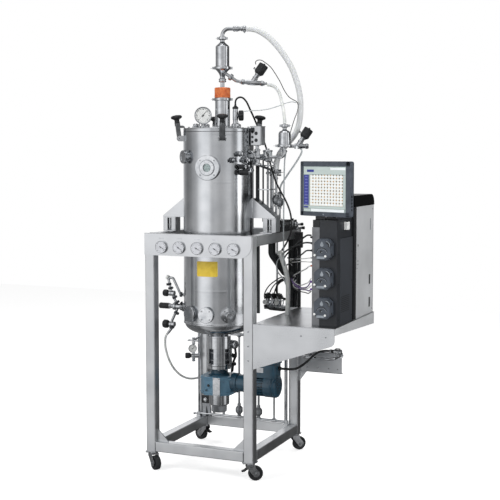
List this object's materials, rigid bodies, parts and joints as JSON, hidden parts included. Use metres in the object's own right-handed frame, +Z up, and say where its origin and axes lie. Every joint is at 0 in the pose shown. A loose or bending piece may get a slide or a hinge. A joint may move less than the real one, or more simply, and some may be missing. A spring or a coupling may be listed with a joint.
{
  "type": "stirred bioreactor",
  "caption": "Stirred stainless bioreactor in a wheeled tube frame with bottom drive, clamped head plate, gas filters, gauge panel, pump tower, cabinet and swivelling monitor.",
  "frame": {"origin": "middle of the footprint on the floor, at the foot of the casters", "axes": "+Z up, -Y the front with the gauge panel, +X to the right towards the shelf and the monitor"},
  "size_m": [1.1468, 0.7138, 2.2296],
  "materials": {
    "frame_steel": "brushed stainless",
    "sheet_steel": "fine brushed stainless sheet",
    "polished_steel": "mirror polished stainless",
    "pipe_steel": "bright polished fittings",
    "light_casting": "satin",
    "blue_enamel": "gloss enamel",
    "dark_casing": "satin powder coat",
    "light_casing": "satin powder coat",
    "black_plastic": "moulded",
    "slate_plastic": "moulded",
    "rotor_plastic": "moulded",
    "orange_silicone": "soft matt",
    "clear_silicone": "translucent hose",
    "black_rubber": "matt"
  },
  "bodies": {
    "skid": {"cabinet_cap": "black_plastic", "controller_cabinet": "light_casing", "controller_tower": "dark_casing", "drive_lantern": "polished_steel", "drive_motor": "blue_enamel", "electrode_cable": "black_rubber", "exhaust_column": "polished_steel", "exhaust_filter": "pipe_steel", "exhaust_hose": "clear_silicone", "gauge_panel": "sheet_steel", "gearbox": "blue_enamel", "head_electrode": "pipe_steel", "head_plate": "polished_steel", "head_pressure_gauge": "pipe_steel", "inlet_filter": "pipe_steel", "inlet_hose": "clear_silicone", "instrument_shelf": "frame_steel", "monitor_arm": "black_plastic", "motor_cable": "black_rubber", "pipe_rack": "pipe_steel", "sample_hose": "clear_silicone", "sample_valve": "pipe_steel", "service_pipework": "pipe_steel", "side_air_valve": "pipe_steel", "silicone_collar": "orange_silicone", "skid_frame": "frame_steel", "upper_air_valve": "pipe_steel", "utility_panel": "sheet_steel", "vessel": "polished_steel"},
    "caster_fork_front_right": {"caster_fork_front_right": "pipe_steel"},
    "caster_wheel_front_right": {"caster_wheel_front_right": "black_rubber"},
    "brake_pedal_front_right": {"brake_pedal_front_right": "black_plastic"},
    "caster_fork_front_left": {"caster_fork_front_left": "pipe_steel"},
    "caster_wheel_front_left": {"caster_wheel_front_left": "black_rubber"},
    "caster_fork_rear_right": {"caster_fork_rear_right": "pipe_steel"},
    "caster_wheel_rear_right": {"caster_wheel_rear_right": "black_rubber"},
    "caster_fork_rear_left": {"caster_fork_rear_left": "pipe_steel"},
    "caster_wheel_rear_left": {"caster_wheel_rear_left": "black_rubber"},
    "brake_pedal_rear_left": {"brake_pedal_rear_left": "black_plastic"},
    "head_clamp_left": {"head_clamp_left": "light_casting"},
    "clamp_knob_left": {"clamp_knob_left": "black_plastic"},
    "head_clamp_front": {"head_clamp_front": "light_casting"},
    "clamp_knob_front": {"clamp_knob_front": "black_plastic"},
    "head_clamp_right": {"head_clamp_right": "light_casting"},
    "clamp_knob_right": {"clamp_knob_right": "black_plastic"},
    "head_clamp_rear": {"head_clamp_rear": "light_casting"},
    "clamp_knob_rear": {"clamp_knob_rear": "black_plastic"},
    "pump_cover_1": {"pump_cover_1": "slate_plastic"},
    "pump_rotor_1": {"pump_rotor_1": "rotor_plastic"},
    "pump_cover_2": {"pump_cover_2": "slate_plastic"},
    "pump_rotor_2": {"pump_rotor_2": "rotor_plastic"},
    "pump_cover_3": {"pump_cover_3": "slate_plastic"},
    "pump_rotor_3": {"pump_rotor_3": "rotor_plastic"},
    "monitor_yoke": {"monitor_yoke": "slate_plastic"},
    "monitor": {"monitor": "slate_plastic"},
    "agitator": {"agitator": "polished_steel"},
    "sample_handle": {"sample_handle": "black_plastic"},
    "steam_knob": {"steam_knob": "black_plastic"},
    "drain_knob": {"drain_knob": "black_plastic"},
    "regulator_knob": {"regulator_knob": "black_plastic"}
  },
  "joints": [
    {"name": "caster_front_right_swivel", "type": "hinge", "parent": "skid", "child": "caster_fork_front_right", "pos_m": [0.04678, -0.30555, 0.08], "axis": [0, 0, 1], "continuous": true},
    {"name": "caster_front_right_roll", "type": "hinge", "parent": "caster_fork_front_right", "child": "caster_wheel_front_right", "pos_m": [0.06931, -0.28978, 0.03622], "axis": [-0.5736, 0.8192, 0], "continuous": true},
    {"name": "brake_pedal_front_right_press", "type": "hinge", "parent": "caster_fork_front_right", "child": "brake_pedal_front_right", "pos_m": [0.04186, -0.30899, 0.0645], "axis": [0.5736, -0.8192, 0], "range_deg": [0, 15]},
    {"name": "caster_front_left_swivel", "type": "hinge", "parent": "skid", "child": "caster_fork_front_left", "pos_m": [-0.48742, -0.30555, 0.08], "axis": [0, 0, 1], "continuous": true},
    {"name": "caster_front_left_roll", "type": "hinge", "parent": "caster_fork_front_left", "child": "caster_wheel_front_left", "pos_m": [-0.46489, -0.32132, 0.03622], "axis": [0.5736, 0.8192, 0], "continuous": true},
    {"name": "caster_rear_right_swivel", "type": "hinge", "parent": "skid", "child": "caster_fork_rear_right", "pos_m": [0.04678, 0.30165, 0.08], "axis": [0, 0, 1], "continuous": true},
    {"name": "caster_rear_right_roll", "type": "hinge", "parent": "caster_fork_rear_right", "child": "caster_wheel_rear_right", "pos_m": [0.06446, 0.32272, 0.03622], "axis": [-0.766, 0.6428, 0], "continuous": true},
    {"name": "caster_rear_left_swivel", "type": "hinge", "parent": "skid", "child": "caster_fork_rear_left", "pos_m": [-0.48742, 0.30165, 0.08], "axis": [0, 0, 1], "continuous": true},
    {"name": "caster_rear_left_roll", "type": "hinge", "parent": "caster_fork_rear_left", "child": "caster_wheel_rear_left", "pos_m": [-0.51398, 0.30877, 0.03622], "axis": [-0.2588, -0.9659, 0], "continuous": true},
    {"name": "brake_pedal_rear_left_press", "type": "hinge", "parent": "caster_fork_rear_left", "child": "brake_pedal_rear_left", "pos_m": [-0.48162, 0.3001, 0.0645], "axis": [0.2588, 0.9659, 0], "range_deg": [0, 15]},
    {"name": "head_clamp_left_swing", "type": "hinge", "parent": "skid", "child": "head_clamp_left", "pos_m": [-0.39075, -0.18435, 1.668], "axis": [0.5, -0.866, 0], "range_deg": [0, 70]},
    {"name": "clamp_knob_left_turn", "type": "hinge", "parent": "head_clamp_left", "child": "clamp_knob_left", "pos_m": [-0.4004, -0.18992, 1.74722], "axis": [-0.1205, -0.0696, 0.9903], "continuous": true},
    {"name": "head_clamp_front_swing", "type": "hinge", "parent": "skid", "child": "head_clamp_front", "pos_m": [-0.12192, -0.25638, 1.668], "axis": [0.866, 0.5, 0], "range_deg": [0, 70]},
    {"name": "clamp_knob_front_turn", "type": "hinge", "parent": "head_clamp_front", "child": "clamp_knob_front", "pos_m": [-0.11635, -0.26603, 1.74722], "axis": [0.0696, -0.1205, 0.9903], "continuous": true},
    {"name": "head_clamp_right_swing", "type": "hinge", "parent": "skid", "child": "head_clamp_right", "pos_m": [-0.04989, 0.01245, 1.668], "axis": [-0.5, 0.866, 0], "range_deg": [0, 70]},
    {"name": "clamp_knob_right_turn", "type": "hinge", "parent": "head_clamp_right", "child": "clamp_knob_right", "pos_m": [-0.04024, 0.01802, 1.74722], "axis": [0.1205, 0.0696, 0.9903], "continuous": true},
    {"name": "head_clamp_rear_swing", "type": "hinge", "parent": "skid", "child": "head_clamp_rear", "pos_m": [-0.31872, 0.08449, 1.668], "axis": [-0.866, -0.5, 0], "range_deg": [0, 70]},
    {"name": "clamp_knob_rear_turn", "type": "hinge", "parent": "head_clamp_rear", "child": "clamp_knob_rear", "pos_m": [-0.32429, 0.09413, 1.74722], "axis": [-0.0696, 0.1205, 0.9903], "continuous": true},
    {"name": "pump_cover_1_swing", "type": "hinge", "parent": "skid", "child": "pump_cover_1", "pos_m": [0.37468, -0.29595, 0.8683], "axis": [0, 0, -1], "range_deg": [0, 100]},
    {"name": "pump_rotor_1_spin", "type": "hinge", "parent": "skid", "child": "pump_rotor_1", "pos_m": [0.41768, -0.28395, 0.8683], "axis": [0, 1, 0], "continuous": true},
    {"name": "pump_cover_2_swing", "type": "hinge", "parent": "skid", "child": "pump_cover_2", "pos_m": [0.37468, -0.29595, 1.0073], "axis": [0, 0, -1], "range_deg": [0, 100]},
    {"name": "pump_rotor_2_spin", "type": "hinge", "parent": "skid", "child": "pump_rotor_2", "pos_m": [0.41768, -0.28395, 1.0073], "axis": [0, 1, 0], "continuous": true},
    {"name": "pump_cover_3_swing", "type": "hinge", "parent": "skid", "child": "pump_cover_3", "pos_m": [0.37468, -0.29595, 1.1463], "axis": [0, 0, -1], "range_deg": [0, 100]},
    {"name": "pump_rotor_3_spin", "type": "hinge", "parent": "skid", "child": "pump_rotor_3", "pos_m": [0.41768, -0.28395, 1.1463], "axis": [0, 1, 0], "continuous": true},
    {"name": "monitor_swivel", "type": "hinge", "parent": "skid", "child": "monitor_yoke", "pos_m": [0.44668, -0.19795, 1.4263], "axis": [0, 0, 1], "range_deg": [-40, 40]},
    {"name": "monitor_tilt", "type": "hinge", "parent": "monitor_yoke", "child": "monitor", "pos_m": [0.43471, -0.23084, 1.4263], "axis": [-0.9397, 0.342, 0], "range_deg": [-5, 25]},
    {"name": "agitator_spin", "type": "hinge", "parent": "skid", "child": "agitator", "pos_m": [-0.22032, -0.08595, 0.6], "axis": [0, 0, 1], "continuous": true},
    {"name": "sample_handle_turn", "type": "hinge", "parent": "skid", "child": "sample_handle", "pos_m": [-0.47272, -0.10595, 0.806], "axis": [-1, 0, 0], "range_deg": [0, 270]},
    {"name": "steam_knob_turn", "type": "hinge", "parent": "skid", "child": "steam_knob", "pos_m": [-0.49472, -0.10595, 0.873], "axis": [-1, 0, 0], "range_deg": [0, 360]},
    {"name": "drain_knob_turn", "type": "hinge", "parent": "skid", "child": "drain_knob", "pos_m": [-0.49472, -0.10595, 0.711], "axis": [-1, 0, 0], "range_deg": [0, 360]},
    {"name": "regulator_knob_turn", "type": "hinge", "parent": "skid", "child": "regulator_knob", "pos_m": [-0.53712, 0.23415, 0.484], "axis": [-0.9135, -0.4067, 0], "range_deg": [0, 360]}
  ]
}
